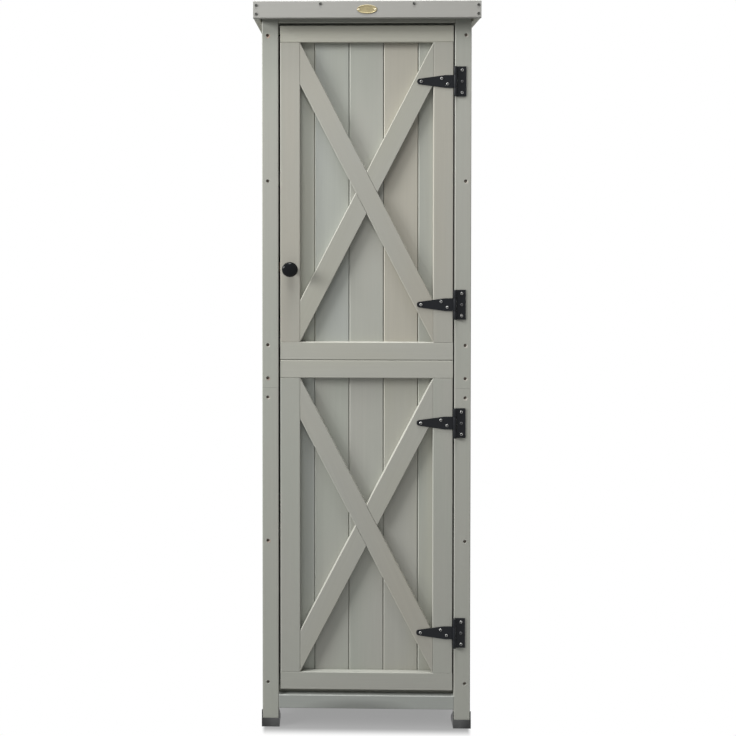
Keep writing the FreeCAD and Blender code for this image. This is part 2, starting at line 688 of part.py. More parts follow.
# Door: two framed halves with planks behind and an X of braces in front
def door_half(half):
    low = half == "lower"
    bottom = "door_bottom" if low else "(door_seam + seam_gap)"
    top = "door_seam" if low else "door_top"
    bottom_rail, top_rail = "door_rail", ("door_rail" if low else "door_top_rail")
    front = "body_front"
    pitch = "(door_width + plank_gap) / door_plank_count"
    keep("door_planks_" + half, plank_set("DoorPlanks" + half, "X", pitch, "door_plank_count",
                                          "%s - %s" % (top, bottom),
                                          ("door_left", "body_front + frame_thick", bottom), 1))
    names = ("door_rail_bottom", "door_rail_lower_seam") if low else ("door_rail_upper_seam", "door_rail_top")
    for label, height, z in ((names[0], bottom_rail, bottom), (names[1], top_rail, "%s - %s" % (top, top_rail))):
        keep(label, board(label.title().replace("_", ""), ("door_width", "frame_thick", height),
                          ("door_left", front, z), "X"))
    stile_height = "%s - %s - %s - %s" % (top, bottom, bottom_rail, top_rail)
    stile_z = "%s + %s" % (bottom, bottom_rail)
    for hand, x in (("latch", "door_left"), ("hinge", "door_right - door_stile")):
        label = "door_stile_%s_%s" % (half, hand)
        keep(label, board(label.title().replace("_", ""), ("door_stile", "frame_thick", stile_height),
                          (x, front, stile_z), "Z"))
    make_braces(half, "(door_width - 2 * door_stile)", "(%s)" % stile_height,
                ("door_left + door_stile", "body_front + frame_thick", stile_z))


def make_braces(half, wide, tall, at):
    """One long diagonal from the top left, and two short ones that butt against it.

    A brace's outer edge starts in a corner of the frame. Its rise is its height measured along a stile.
    """
    diagonal = "sqrt({w} * {w} + {t} * {t} - brace_width * brace_width)".format(w=wide, t=tall)
    rise_name = "rise_" + half
    derive(rise_name, "brace_width * ({w} * {d} - brace_width * {t}) / ({w} * {w} - brace_width * brace_width)"
           .format(w=wide, d=diagonal, t=tall))
    run = "({t} - {r})".format(t=tall, r=rise_name)
    long_outline = [("0", tall), ("0", run), (wide, "0"), (wide, rise_name)]
    slope = FreeCAD.Vector(value_of(wide), 0, value_of(run)).normalize()
    falling = FreeCAD.Vector(slope.x, 0, -slope.z)
    keep("brace_%s_long" % half, prism("BraceLong" + half, "XZ", long_outline, "frame_thick", at, falling))
    middle = "{w} / 2".format(w=wide)
    shift = "{w} * {r} / 2 / {run}".format(w=wide, r=rise_name, run=run)
    right = [(wide, tall), (middle, "%s - %s / 2" % (tall, run)),
             ("%s + %s" % (middle, shift), "%s - %s / 2 - %s / 2" % (tall, run, rise_name)), (wide, run)]
    left = [("0", "0"), (middle, run + " / 2"),
            ("%s - %s" % (middle, shift), "%s / 2 + %s / 2" % (run, rise_name)), ("0", rise_name)]
    pieces = [prism("BraceShort%s%s" % (half, hand), "XZ", outline, "frame_thick", at, slope)
              for hand, outline in (("Right", right), ("Left", left))]
    keep("brace_%s_short" % half, group("BraceShort" + half, pieces))


# Fittings: knob, strike plate and magnetic catch, joining plates
def make_fittings():
    knob_x = "(door_left + door_stile / 2)"
    profile = [("0", "0"), ("knob_neck", "0"), ("knob_neck", "knob_reach - knob_head"),
               ("knob_radius", "knob_reach - knob_head"), ("knob_radius", "knob_reach - knob_head + knob_rim"),
               ("knob_face", "knob_reach"), ("0", "knob_reach")]
    keep("knob", turned("Knob", profile, (knob_x, "body_front", "knob_height"), TOWARDS_FRONT))
    keep("strike_plate", board("StrikePlate", ("strike_width", "sheet_thick", "strike_height"),
                               ("door_left + edge_ease", "door_back", "knob_height - strike_height / 2")))
    keep("magnetic_catch", board("Catch", ("catch_width", "catch_depth", "catch_height"),
                                 ("0 - inner_right", "door_back + sheet_thick + touch_gap",
                                  "knob_height - catch_height / 2")))
    plates = []
    for hand, x in (("Left", "door_left + door_stile"), ("Right", "door_right - 2 * door_stile")):
        plates.append(board("DoorPlate" + hand, ("door_stile", "sheet_thick", "2 * door_rail"),
                            (x, "door_back", "door_seam - door_rail")))
    keep("door_joining_plates", group("DoorPlates", plates))
    plates = []
    for hand, x in (("Left", "0 - inner_right"), ("Right", "inner_right - sheet_thick")):
        for name, near in (("Front", "front_inside"), ("Rear", "back_inside - leg_stile")):
            width = "leg_stile - plank_thick - 2 * edge_ease"
            shift = "plank_thick + edge_ease" if name == "Front" else "edge_ease"
            plates.append(board("JoinPlate" + hand + name, ("sheet_thick", width, "2 * rail_height"),
                                (x, "%s + %s" % (near, shift), "post_seam - rail_height")))
    keep("carcass_joining_plates", group("CarcassPlates", plates))


# Hinges: a tapered strap on the door, a plate on the post, three knuckles on one pin
STRAP_HOLES = [("0 - strap_reach * 0.89", "0"), ("0 - strap_reach * 0.36", "strap_height * 0.24"),
               ("0 - strap_reach * 0.2", "0 - strap_height * 0.2")]
PLATE_HOLES = [("plate_reach * 0.62", "plate_height * 0.375"), ("plate_reach * 0.62", "0"),
               ("plate_reach * 0.62", "0 - plate_height * 0.375")]
HINGES = ["hinge_top", "hinge_second", "hinge_third", "hinge_bottom"]


def knuckle(body, low, high):
    """A round barrel on the hinge axis between two heights."""
    sketch = attached_sketch(body, "XY")
    sketch.setExpression("AttachmentOffset.Base.z", bind(low))
    draw_circles(sketch, [("0", "0")], "knuckle_radius")
    pad = body.newObject("PartDesign::Pad", body.Name + "Barrel")
    pad.Profile = sketch
    pad.setExpression("Length", bind("%s - (%s)" % (high, low)))
    return pad


def bore(body, length):
    """The hole for the pin, right through the barrel."""
    sketch = attached_sketch(body, "XY")
    draw_circles(sketch, [("0", "0")], "pin_radius + pin_clearance")
    pocket = body.newObject("PartDesign::Pocket", body.Name + "Bore")
    pocket.Profile = sketch
    pocket.Midplane = True
    pocket.setExpression("Length", bind(length))
    return pocket


def leaf_offset(sketch):
    """Moves an XZ sketch back to the wood, so that the leaf lies between the wood and the barrel."""
    sketch.setExpression("AttachmentOffset.Base.z", bind("0 - knuckle_radius - touch_gap"))


def hinge_strap(name, z):
    body = doc.addObject("PartDesign::Body", name)
    root = "0 - pin_offset - touch_gap"
    half = "strap_height / 2"
    end = "strap_tip_radius - strap_reach"
    sketch = attached_sketch(body, "XZ")
    leaf_offset(sketch)
    draw_outline(sketch, [(root, half), ("0 - strap_shoulder", half), (end, "strap_tip_radius"),
                          (end, "0 - strap_tip_radius"), ("0 - strap_shoulder", "0 - " + half),
                          (root, "0 - " + half)])
    leaf = body.newObject("PartDesign::Pad", name + "Leaf")
    leaf.Profile = sketch
    leaf.setExpression("Length", bind("leaf_thick"))
    tip = attached_sketch(body, "XZ")
    leaf_offset(tip)
    draw_circles(tip, [(end, "0")], "strap_tip_radius")
    round_end = body.newObject("PartDesign::Pad", name + "Tip")
    round_end.Profile = tip
    round_end.setExpression("Length", bind("leaf_thick"))
    knuckle(body, "0 - " + half, half)
    bore(body, "2 * strap_height")
    add_holes(body, "XZ", STRAP_HOLES, "hole_radius", HOLE_SIDES, "2 * knuckle_radius")
    return place(body, ("pin_x", "pin_y", z))


def hinge_plate(name, z):
    body = doc.addObject("PartDesign::Body", name)
    half = "plate_height / 2"
    notch = "(strap_height / 2 + touch_gap)"
    clear = "knuckle_radius + 4 * touch_gap"
    sketch = attached_sketch(body, "XZ")
    leaf_offset(sketch)
    draw_outline(sketch, [("0", half), ("0", notch), (clear, notch), (clear, "0 - " + notch),
                          ("0", "0 - " + notch), ("0", "0 - " + half), ("plate_reach", "0 - " + half),
                          ("plate_reach", half)])
    leaf = body.newObject("PartDesign::Pad", name + "Leaf")
    leaf.Profile = sketch
    leaf.setExpression("Length", bind("leaf_thick"))
    knuckle(body, "0 - " + half, "0 - " + notch)
    knuckle(body, notch, half)
    bore(body, "2 * plate_height")
    add_holes(body, "XZ", PLATE_HOLES, "hole_radius", HOLE_SIDES, "2 * knuckle_radius")
    return place(body, ("pin_x", "pin_y", z))


def make_hinges():
    pins = []
    for number, height in enumerate(HINGES, 1):
        keep("hinge_strap_%d" % number, hinge_strap("Strap%d" % number, height))
        keep("hinge_plate_%d" % number, hinge_plate("Plate%d" % number, height))
        half = "plate_height / 2"
        profile = [("0", "0 - " + half), ("pin_radius", "0 - " + half), ("pin_radius", half), ("0", half)]
        pins.append(turned("Pin%d" % number, profile, ("pin_x", "pin_y", height)))
    keep("hinge_pins", group("Pins", pins))


# Screws of the door and of the carcass
def make_screws():
    door = []
    carcass = []
    face = "body_front - leaf_thick"
    for number, height in enumerate(HINGES, 1):
        for step, (x, z) in enumerate(STRAP_HOLES, 1):
            at = ("pin_x + (%s)" % x, face, "%s + (%s)" % (height, z))
            door.append(screw("StrapScrew%d%d" % (number, step), at, TOWARDS_FRONT, "hinge_screw"))
        for step, (x, z) in enumerate(PLATE_HOLES, 1):
            at = ("pin_x + (%s)" % x, face, "%s + (%s)" % (height, z))
            carcass.append(screw("PlateScrew%d%d" % (number, step), at, TOWARDS_FRONT, "hinge_screw"))
    back = "door_back + sheet_thick"
    for hand, x in (("Left", "door_left + 1.5 * door_stile"), ("Right", "door_right - 1.5 * door_stile")):
        for step, z in enumerate(("door_seam - door_rail / 2", "door_seam + door_rail / 2"), 1):
            door.append(screw("JoinScrew%s%d" % (hand, step), (x, back, z), TOWARDS_BACK, "hinge_screw"))
    door.append(screw("KnobScrew", ("door_left + door_stile / 2", "door_back", "knob_height"),
                      TOWARDS_BACK, "(door_thick + knob_reach / 3)"))
    keep("door_screws", group("DoorScrews", door))
    sunk = "body_front + counterbore_depth"
    for half, heights in POST_SCREWS.items():
        for step, z in enumerate(heights, 1):
            for hand, x in (("Left", "screw_inset - half_body"), ("Right", "half_body - screw_inset")):
                name = half + hand + str(step)
                carcass.append(screw("FrontScrew" + name, (x, sunk, z), TOWARDS_FRONT, "post_screw"))
                carcass.append(screw("BackScrew" + name, (x, "body_back", z), TOWARDS_BACK, "post_screw"))
    deck_middle = "deck_top - plank_thick / 2"
    end_x = "(half_roof - frame_thick / 2)"
    for hand, x in (("Left", "0 - " + end_x), ("Right", end_x)):
        for step, z in enumerate(("fascia_bottom + fascia_height / 4", "roof_top - fascia_height / 4"), 1):
            carcass.append(screw("FasciaScrew%s%d" % (hand, step), (x, "roof_front", z), TOWARDS_FRONT,
                                 "post_screw"))
        carcass.append(screw("RoofBackScrew" + hand, (x, "body_back + frame_thick",
                             "fascia_bottom + fascia_height / 3"), TOWARDS_BACK, "post_screw"))
    for hand, x in (("Left", "0 - half_roof * 0.41"), ("Right", "half_roof * 0.41")):
        carcass.append(screw("DeckScrew" + hand, (x, "roof_front", deck_middle), TOWARDS_FRONT, "post_screw"))
    for step in (1, 2, 3):
        y = "(deck_front + %d * deck_depth / 4)" % step
        z = "%s - fall * (%s - deck_front)" % (deck_middle, y)
        carcass.append(screw("SideScrewLeft%d" % step, ("0 - half_roof", y, z), TOWARDS_LEFT, "post_screw"))
        carcass.append(screw("SideScrewRight%d" % step, ("half_roof", y, z), TOWARDS_RIGHT, "post_screw"))
    keep("carcass_screws", group("CarcassScrews", carcass))


def write_nodes():
    """Checks every object, then writes each sub-part to its own file."""
    doc.recompute()
    failed = [item.Name for item in doc.Objects if {"Invalid", "Error"} & set(item.State)]
    broken = [item.Label for item in nodes if item.Shape.isNull() or not item.Shape.isValid()]
    if failed or broken:
        raise RuntimeError("failed objects %s, broken shapes %s" % (failed, broken))
    os.makedirs("parts", exist_ok=True)
    for item in nodes:
        item.Shape.exportStep("parts/%s.step" % item.Label)
    print("%d sub-parts, %d solids" % (len(nodes), sum(len(item.Shape.Solids) for item in nodes)))


make_posts()
make_sides()
make_back()
make_sill_and_head()
make_floor_and_shelves()
make_roof()
make_oval_plate()
make_foot_caps()
door_half("lower")
door_half("upper")
make_fittings()
make_hinges()
make_screws()
write_nodes()
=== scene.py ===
import math

import bmesh
import bpy
from mathutils import Matrix, Vector


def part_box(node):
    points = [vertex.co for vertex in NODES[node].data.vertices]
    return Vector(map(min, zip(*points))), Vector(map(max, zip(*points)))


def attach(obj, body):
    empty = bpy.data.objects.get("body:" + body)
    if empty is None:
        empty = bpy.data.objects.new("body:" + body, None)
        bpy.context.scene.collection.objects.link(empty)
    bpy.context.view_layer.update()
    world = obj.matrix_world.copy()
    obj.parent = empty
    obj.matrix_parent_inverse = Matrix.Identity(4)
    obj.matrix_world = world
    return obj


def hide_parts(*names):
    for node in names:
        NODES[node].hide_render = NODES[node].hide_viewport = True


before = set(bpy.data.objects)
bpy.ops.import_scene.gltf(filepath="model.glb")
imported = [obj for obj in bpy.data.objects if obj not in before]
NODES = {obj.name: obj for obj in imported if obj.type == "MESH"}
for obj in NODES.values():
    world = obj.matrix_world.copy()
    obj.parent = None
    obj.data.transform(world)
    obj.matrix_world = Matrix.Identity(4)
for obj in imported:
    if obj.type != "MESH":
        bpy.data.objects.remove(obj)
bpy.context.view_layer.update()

# Garden storage cabinet in painted softwood. Metres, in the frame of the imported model.
WHITE = (1, 1, 1, 1)

# Camera at the photograph's place, with its shift
CAMERA_PLACE = (-0.0667, -2.5775, 1.3796)
CAMERA_PITCH = -0.955
CAMERA_YAW = 1.097
CAMERA_LENS = 47.19
CAMERA_SENSOR = 36
CAMERA_SHIFT = (0.0636, -0.2373)


def link(name, data):
    """A new object in the scene."""
    made = bpy.data.objects.new(name, data)
    bpy.context.scene.collection.objects.link(made)
    return made


def add_camera():
    data = bpy.data.cameras.new("Camera")
    data.lens = CAMERA_LENS
    data.sensor_width = CAMERA_SENSOR
    data.shift_x, data.shift_y = CAMERA_SHIFT
    camera = link("Camera", data)
    camera.location = CAMERA_PLACE
    camera.rotation_euler = (math.radians(90 + CAMERA_PITCH), 0, math.radians(CAMERA_YAW))
    bpy.context.scene.camera = camera


# Studio: a soft light at the left that grazes the front, two overhead and one behind
LAMPS = {
    "Side": {"place": (-5.4, -2.05, 3.1), "target": (0, -0.1, 1.0), "size": 1.8, "power": 445},
    "Top": {"place": (-0.5, -1.3, 3.2), "target": (0, -0.1, 1.0), "size": 1.0, "power": 22},
    "Steep": {"place": (-0.2, -0.85, 6.4), "target": (0, -0.1, 1.0), "size": 1.8, "power": 295},
    "Rear": {"place": (2.9, 3.0, 3.0), "target": (0.1, 0.1, 0.9), "size": 1.8, "power": 190},
}
WORLD_LEVEL = 0.16


def add_lamps():
    for name, lamp in LAMPS.items():
        data = bpy.data.lights.new(name, "AREA")
        data.shape = "SQUARE"
        data.size = lamp["size"]
        data.energy = lamp["power"]
        light = link(name, data)
        light.location = lamp["place"]
        aim = Vector(lamp["target"]) - light.location
        light.rotation_euler = aim.to_track_quat("-Z", "Y").to_euler()


def add_world():
    """White where the camera, a mirror or glass looks at it, and a soft grey fill as a light."""
    world = bpy.data.worlds.new("Studio")
    bpy.context.scene.world = world
    world.use_nodes = True
    tree = world.node_tree
    tree.nodes.clear()
    output = tree.nodes.new("ShaderNodeOutputWorld")
    mix = tree.nodes.new("ShaderNodeMixShader")
    shown = tree.nodes.new("ShaderNodeBackground")
    shown.inputs["Color"].default_value = WHITE
    fill = tree.nodes.new("ShaderNodeBackground")
    fill.inputs["Color"].default_value = WHITE
    fill.inputs["Strength"].default_value = WORLD_LEVEL
    tree.links.new(seen_ray(tree), mix.inputs[0])
    tree.links.new(fill.outputs[0], mix.inputs[1])
    tree.links.new(shown.outputs[0], mix.inputs[2])
    tree.links.new(mix.outputs[0], output.inputs[0])


def seen_ray(tree):
    """1 for rays of the camera, of gloss and of glass."""
    path = tree.nodes.new("ShaderNodeLightPath")
    total = path.outputs["Is Camera Ray"]
    for kind in ("Is Glossy Ray", "Is Transmission Ray"):
        add = tree.nodes.new("ShaderNodeMath")
        add.operation = "MAXIMUM"
        tree.links.new(total, add.inputs[0])
        tree.links.new(path.outputs[kind], add.inputs[1])
        total = add.outputs[0]
    return total


# Materials
# The values that most of a noise lies between
SPAN = (0.3, 0.7)


class Paint:
    """A material's nodes, added and joined with short calls."""

    def __init__(self, name, **settings):
        self.material = bpy.data.materials.new(name)
        self.material.use_nodes = True
        self.tree = self.material.node_tree
        self.tree.nodes.clear()
        self.output = self.tree.nodes.new("ShaderNodeOutputMaterial")
        self.shader = self.tree.nodes.new("ShaderNodeBsdfPrincipled")
        self.tree.links.new(self.shader.outputs[0], self.output.inputs[0])
        for socket, value in settings.items():
            self.shader.inputs[socket.replace("_", " ")].default_value = value

    def node(self, kind, inputs=(), **properties):
        made = self.tree.nodes.new("ShaderNode" + kind)
        for key, value in properties.items():
            setattr(made, key, value)
        for key, value in dict(inputs).items():
            if isinstance(value, bpy.types.NodeSocket):
                self.tree.links.new(value, made.inputs[key])
            else:
                made.inputs[key].default_value = value
        return made

    def place(self):
        """The point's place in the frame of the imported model, at rest."""
        return self.node("TexCoord").outputs["Object"]

    def along(self, vector, axis):
        return self.node("SeparateXYZ", {0: vector}).outputs[axis]

    def beyond(self, vector, axis, start):
        """How far a place lies beyond a start along an axis."""
        return self.math("SUBTRACT", self.along(vector, axis), start)

    def math(self, operation, first, second=0.0):
        return self.node("Math", {0: first, 1: second}, operation=operation).outputs[0]

    def product(self, *factors):
        total = factors[0]
        for factor in factors[1:]:
            total = self.math("MULTIPLY", total, factor)
        return total

    def total(self, *parts):
        result = parts[0]
        for part in parts[1:]:
            result = self.math("ADD", result, part)
        return result

    def scaled(self, vector, scale):
        return self.node("Mapping", {"Vector": vector, "Scale": scale}).outputs[0]

    def noise(self, vector, scale, detail, roughness=0.5):
        inputs = {"Vector": vector, "Scale": scale, "Detail": detail, "Roughness": roughness}
        return self.node("TexNoise", inputs).outputs["Fac"]

    def between(self, value, low, high, new_low=0.0, new_high=1.0, **properties):
        """Goes from one value to another while the input goes from low to high, and no further."""
        inputs = {"Value": value, "From Min": low, "From Max": high, "To Min": new_low, "To Max": new_high}
        return self.node("MapRange", inputs, **properties).outputs[0]

    def mix(self, share, first, second, blend="MIX"):
        inputs = {0: share, 6: first, 7: second}
        return self.node("Mix", inputs, data_type="RGBA", blend_type=blend).outputs[2]

    def steps(self, number, colours):
        """One colour for each whole number from 0 on."""
        ramp = self.node("ValToRGB", {0: self.math("DIVIDE", number, float(len(colours)))})
        ramp.color_ramp.interpolation = "CONSTANT"
        for index, colour in enumerate(colours):
            if index > 1:
                ramp.color_ramp.elements.new(index / len(colours))
            stop = ramp.color_ramp.elements[index]
            stop.position = index / len(colours)
            stop.color = colour
        return ramp.outputs[0]

    def shaded(self, colour, shade):
        grey = self.node("CombineColor", {0: shade, 1: shade, 2: shade}).outputs[0]
        return self.mix(1.0, colour, grey, "MULTIPLY")

    def bump(self, height, distance, strength):
        inputs = {"Height": height, "Distance": distance, "Strength": strength}
        self.tree.links.new(self.node("Bump", inputs).outputs[0], self.shader.inputs["Normal"])

    def set(self, socket, value):
        self.tree.links.new(value, self.shader.inputs[socket])


# Hues of the grey-green stain, which a board's level makes lighter or darker
PLAIN = (1.01, 1.0, 0.93)
GREY = (1.0, 1.0, 0.895)
SAGE = (0.965, 1.0, 0.88)
OLIVE = (1.01, 1.0, 0.85)
SAND = (1.045, 1.0, 0.85)
SLATE = (0.957, 1.0, 0.93)
SHADY = (0.905, 0.925, 0.82)
# Boards are a little darker near the ground, a painted shade where less light reaches: two heights and the
# factors there
GROUND_SHADE = (0.15, 0.75, 0.925, 1.01)

# Each node's grain starts at a place of its own, and each board's in a row
SEED_STEP = 3.17
BOARD_SHIFT = (0.731, 0.417, 1.913)
# Scales of the grain across, across and along a board, and the factors that its parts reach
BROAD_SCALE = (11, 11, 2.2)
FIBRE_SCALE = (620, 620, 8)
RING_SCALE = (120, 120, 1.1)
FIBRE_SHADES = (0.965, 1.035)
RING_SHADES = (0.985, 1.012)
BOARD_SHADES = (0.99, 1.01)
WOOD_ROUGHNESS = (0.54, 0.72)
# Relief of the grain: share of the fibres and of the rings, and depth
GRAIN_SHARE = 0.6
GRAIN_DEPTH = 0.00025
# Painted highlight along edges: radius, how far the surface turns there, and the factor
RIM_RADIUS = 0.0012
RIM_TURN = 0.6
RIM_FACTOR = 1.10

# Widths at a board's joint, with their factors: the dark gap, the painted shade on the arris at its left
# and the painted highlight on the one at its right
JOINT = 0.0006
JOINT_FACTOR = 0.3
SHADED_ARRIS = 0.0020
SHADED_FACTOR = 0.45
LIT_ARRIS = 0.0024
LIT_FACTOR = 1.28
# Share of the lit arris before it fades
LIT_WHOLE = 0.75

# Spots at screws, bare wood and rust at some and a pale painted highlight of the recess's lit lower-right
# wall
# at the others: radius, how ragged and how soft their edge is, and their shift to the lower right
BARE_WOOD = (0.54, 0.39, 0.31, 1)
RUSTY = (0.33, 0.27, 0.23, 1)
GLINT_PALE = (0.49, 0.47, 0.42, 1)
CHIP_GLINT_RADIUS = 0.0047
CHIP_GLINT_RAGGED = 0.0012
CHIP_GLINT_SOFT = 0.0004
CHIP_GLINT_SCALE = 420.0
CHIP_GLINT_SHIFT = 0.0015


def stain(hue, level):
    return tuple(level * part for part in hue) + (1,)


def joint_shades(paint, number, pitch):
    """Painted shade and highlight on the arrises at the joints of a row, with the dark gap, where number
    counts the boards in fractions.
    """
    share = paint.math("FRACT", number)
    return [paint.between(share, LIT_WHOLE * LIT_ARRIS / pitch, LIT_ARRIS / pitch, LIT_FACTOR, 1.0),
            paint.between(share, 1 - SHADED_ARRIS / pitch, 1 - JOINT / pitch, 1.0, SHADED_FACTOR),
            paint.between(share, 0, JOINT / pitch, JOINT_FACTOR, 1.0)]


def edge_highlight(paint):
    """A painted highlight: paler where an edge is near."""
    normals = {0: paint.node("NewGeometry").outputs["Normal"],
               1: paint.node("Bevel", {"Radius": RIM_RADIUS}, samples=4).outputs[0]}
    agreement = paint.node("VectorMath", normals, operation="DOT_PRODUCT").outputs["Value"]
    return paint.between(agreement, RIM_TURN, 1.0, RIM_FACTOR, 1.0)


def chip_glint_disc(paint, place, spot_place):
    """1 on a ragged disc around a spot at a screw: wood and rust at some, a painted highlight at the others.
    """
    gap = paint.node("VectorMath", {0: place, 1: spot_place}, operation="DISTANCE").outputs["Value"]
    ragged = paint.between(paint.noise(place, CHIP_GLINT_SCALE, 2.0), *SPAN, -CHIP_GLINT_RAGGED, CHIP_GLINT_RAGGED)
    whole, gone = CHIP_GLINT_RADIUS + CHIP_GLINT_SOFT, CHIP_GLINT_RADIUS - CHIP_GLINT_SOFT
    return paint.between(paint.total(gap, ragged), gone, whole, 1.0, 0.0)


def wood(name, grain, seed, tones, level, row, chips_and_glints, marks):
    """Stained softwood.

    grain is the turn that brings the board's length to Z, in degrees about X, Y and Z.
    seed sets where the node's grain starts, and level how light its stain is.
    tones are two hues that a board wavers between, or one pair for each board of a row.
    row is the axis, start and pitch of boards that lie side by side, or None.
    chips_and_glints are spots at screws, each with its colour: wood and rust where the stain is gone at
    some, a pale painted highlight at the others.
    marks are further shades, each a function of the paint and the place with the values that follow them.
    """
    paint = Paint("Wood_" + name, Roughness=0.62)
    place = paint.place()
    board = paint.math("ADD", seed * SEED_STEP, 0.0)
    if row:
        axis, start, pitch = row
        number = paint.math("DIVIDE", paint.beyond(place, axis, start), pitch)
        board = paint.math("ADD", paint.math("FLOOR", number), board)
    turns = [math.radians(angle) for angle in grain]
    turned = paint.node("Mapping", {"Vector": place, "Rotation": turns}).outputs[0]
    shifts = {letter: paint.math("MULTIPLY", board, share) for letter, share in zip("XYZ", BOARD_SHIFT)}
    shift = paint.node("CombineXYZ", shifts).outputs[0]
    own = paint.node("VectorMath", {0: turned, 1: shift}, operation="ADD").outputs[0]
    tone = paint.node("TexWhiteNoise", {"W": board}, noise_dimensions="1D").outputs["Value"]
    broad = paint.between(paint.noise(paint.scaled(own, BROAD_SCALE), 1.0, 1.0, 0.4), *SPAN)
    fibres = paint.noise(paint.scaled(own, FIBRE_SCALE), 1.0, 3.0, 0.6)
    rings = paint.noise(paint.scaled(own, RING_SCALE), 1.0, 2.0)
    if len(tones) > 2:
        first, second = (paint.steps(number, [stain(hue, level) for hue in hues]) for hues in zip(*tones))
    else:
        first, second = (stain(hue, level) for hue in tones)
    # Grain, tone, a painted shade towards the ground and a painted highlight along edges
    shades = [paint.between(rings, *SPAN, *RING_SHADES),
              paint.between(fibres, 0.25, 0.75, *FIBRE_SHADES),
              paint.between(tone, 0, 1, *BOARD_SHADES),
              paint.between(paint.along(place, 2), *GROUND_SHADE),
              edge_highlight(paint)]
    if row:
        shades += joint_shades(paint, number, pitch)
    shades += [shade(paint, place, *values) for shade, *values in marks]
    colour = paint.shaded(paint.mix(broad, first, second), paint.product(*shades))
    # Spots at screws: wood and rust at some, a pale painted highlight of the lit recess wall at the others
    for spot_place, spot_colour in chips_and_glints:
        colour = paint.mix(chip_glint_disc(paint, place, spot_place), colour, spot_colour)
    paint.set("Base Color", colour)
    paint.set("Roughness", paint.between(fibres, 0.2, 0.8, *WOOD_ROUGHNESS))
    height = paint.total(*(paint.math("MULTIPLY", part, GRAIN_SHARE) for part in (fibres, rings)))
    paint.bump(height, GRAIN_DEPTH, 0.5)
    return paint.material


# Shades that only some boards have
# A painted shadow's oval is darkest up to this share of its size
OVAL_CORE = 0.35
# Planks are painted paler in a band on their front beside braces and the latch stile, a painted light that
# thins the shadows these cast: distance of its middle, its half width, the factors, how much further off the
# band of the stile lies, and how deep the front goes
PALE_MIDDLE = 0.015
PALE_REACH = 0.017
BRACE_PALE = 1.16
STILE_PALE = 1.07
STILE_SHIFT = 0.008
FRONT_SKIN = 0.003
# Line where two posts meet end to end: half its dark core, and the factor there
BUTT_GAP = 0.0003
BUTT_FACTOR = 0.7


def oval_shade(paint, place, middle, half_size, factor):
    """A painted shadow: a darker oval on the front. middle and half_size are in X and Z."""
    offsets = [paint.math("DIVIDE", paint.beyond(place, axis, start), half)
               for axis, start, half in zip((0, 2), middle, half_size)]
    reach = paint.math("SQRT", paint.total(*(paint.product(offset, offset) for offset in offsets)))
    return paint.between(reach, OVAL_CORE, 1.0, factor, 1.0)


def painted_light_band(paint, place, front, point, away, factor):
    """A painted light: a paler band on the planks' front, beside an edge through a point, where the edge's
    shadow falls. point and away are in X and Z.
    """
    parts = [paint.math("MULTIPLY", paint.beyond(place, axis, start), slope)
             for axis, start, slope in zip((0, 2), point, away)]
    off_middle = paint.math("ABSOLUTE", paint.math("SUBTRACT", paint.total(*parts), PALE_MIDDLE))
    behind = paint.math("GREATER_THAN", paint.along(place, 1), front + FRONT_SKIN)
    return paint.between(paint.total(off_middle, behind), 0.0, PALE_REACH, factor, 1.0)


def butt_shade(paint, place, height):
    """A dark line where a board meets the next one."""
    off_butt = paint.math("ABSOLUTE", paint.beyond(place, 2, height))
    return paint.between(off_butt, BUTT_GAP, 2 * BUTT_GAP, BUTT_FACTOR, 1.0)


# Scales and shades that the finishes share
FINE_SCALE = 900
UNEVEN_SCALE = 38
UNEVEN = (0.93, 1.06)


def uneven(paint, place):
    return paint.between(paint.noise(place, UNEVEN_SCALE, 2.0), *SPAN, *UNEVEN)


def coated(name, colour, roughness, metallic=0.0, gloss=0.5, grain=FINE_SCALE, spread=0.06, depth=0.0001):
    """A finish of one colour with a fine grain in its gloss and relief, and a slight unevenness."""
    paint = Paint(name, Base_Color=colour, Roughness=roughness, Metallic=metallic, Specular_IOR_Level=gloss)
    place = paint.place()
    fine = paint.noise(place, grain, 2.0, 0.6)
    paint.set("Base Color", paint.shaded(colour, uneven(paint, place)))
    paint.set("Roughness", paint.between(fine, *SPAN, roughness - spread, roughness + spread))
    paint.bump(fine, depth, 0.3)
    return paint.material


def mineral_felt():
    """Bitumen felt: grit of many greys over a black sheet."""
    paint = Paint("Felt", Roughness=0.92)
    place = paint.place()
    grit = paint.node("TexVoronoi", {"Vector": place, "Scale": 900.0})
    tone = paint.along(grit.outputs["Color"], 0)
    faded = paint.noise(place, 7, 3.0)
    shade = paint.product(paint.between(tone, 0, 1, 0.55, 1.5), paint.between(faded, *SPAN, 0.85, 1.15))
    paint.set("Base Color", paint.shaded((0.062, 0.063, 0.064, 1), shade))
    paint.bump(paint.math("SUBTRACT", 1.0, grit.outputs["Distance"]), 0.0006, 0.8)
    return paint.material


# Foot caps are painted darker towards their outer sides, a painted reflection of dark surroundings, between
# these distances from the middle, with the factors there
CAP_REFLECTION = (0.236, 0.260, 1.0, 0.25)


def foot_plastic():
    """Black plastic, painted darker towards the outer sides of the cabinet as a painted reflection."""
    paint = Paint("Cap_plastic", Roughness=0.3, Specular_IOR_Level=0.4)
    place = paint.place()
    outward = paint.math("ABSOLUTE", paint.along(place, 0))
    shade = paint.product(paint.between(outward, *CAP_REFLECTION), uneven(paint, place))
    paint.set("Base Color", paint.shaded((0.074, 0.075, 0.075, 1), shade))
    paint.bump(paint.noise(place, FINE_SCALE, 2.0, 0.6), 0.0001, 0.3)
    return paint.material


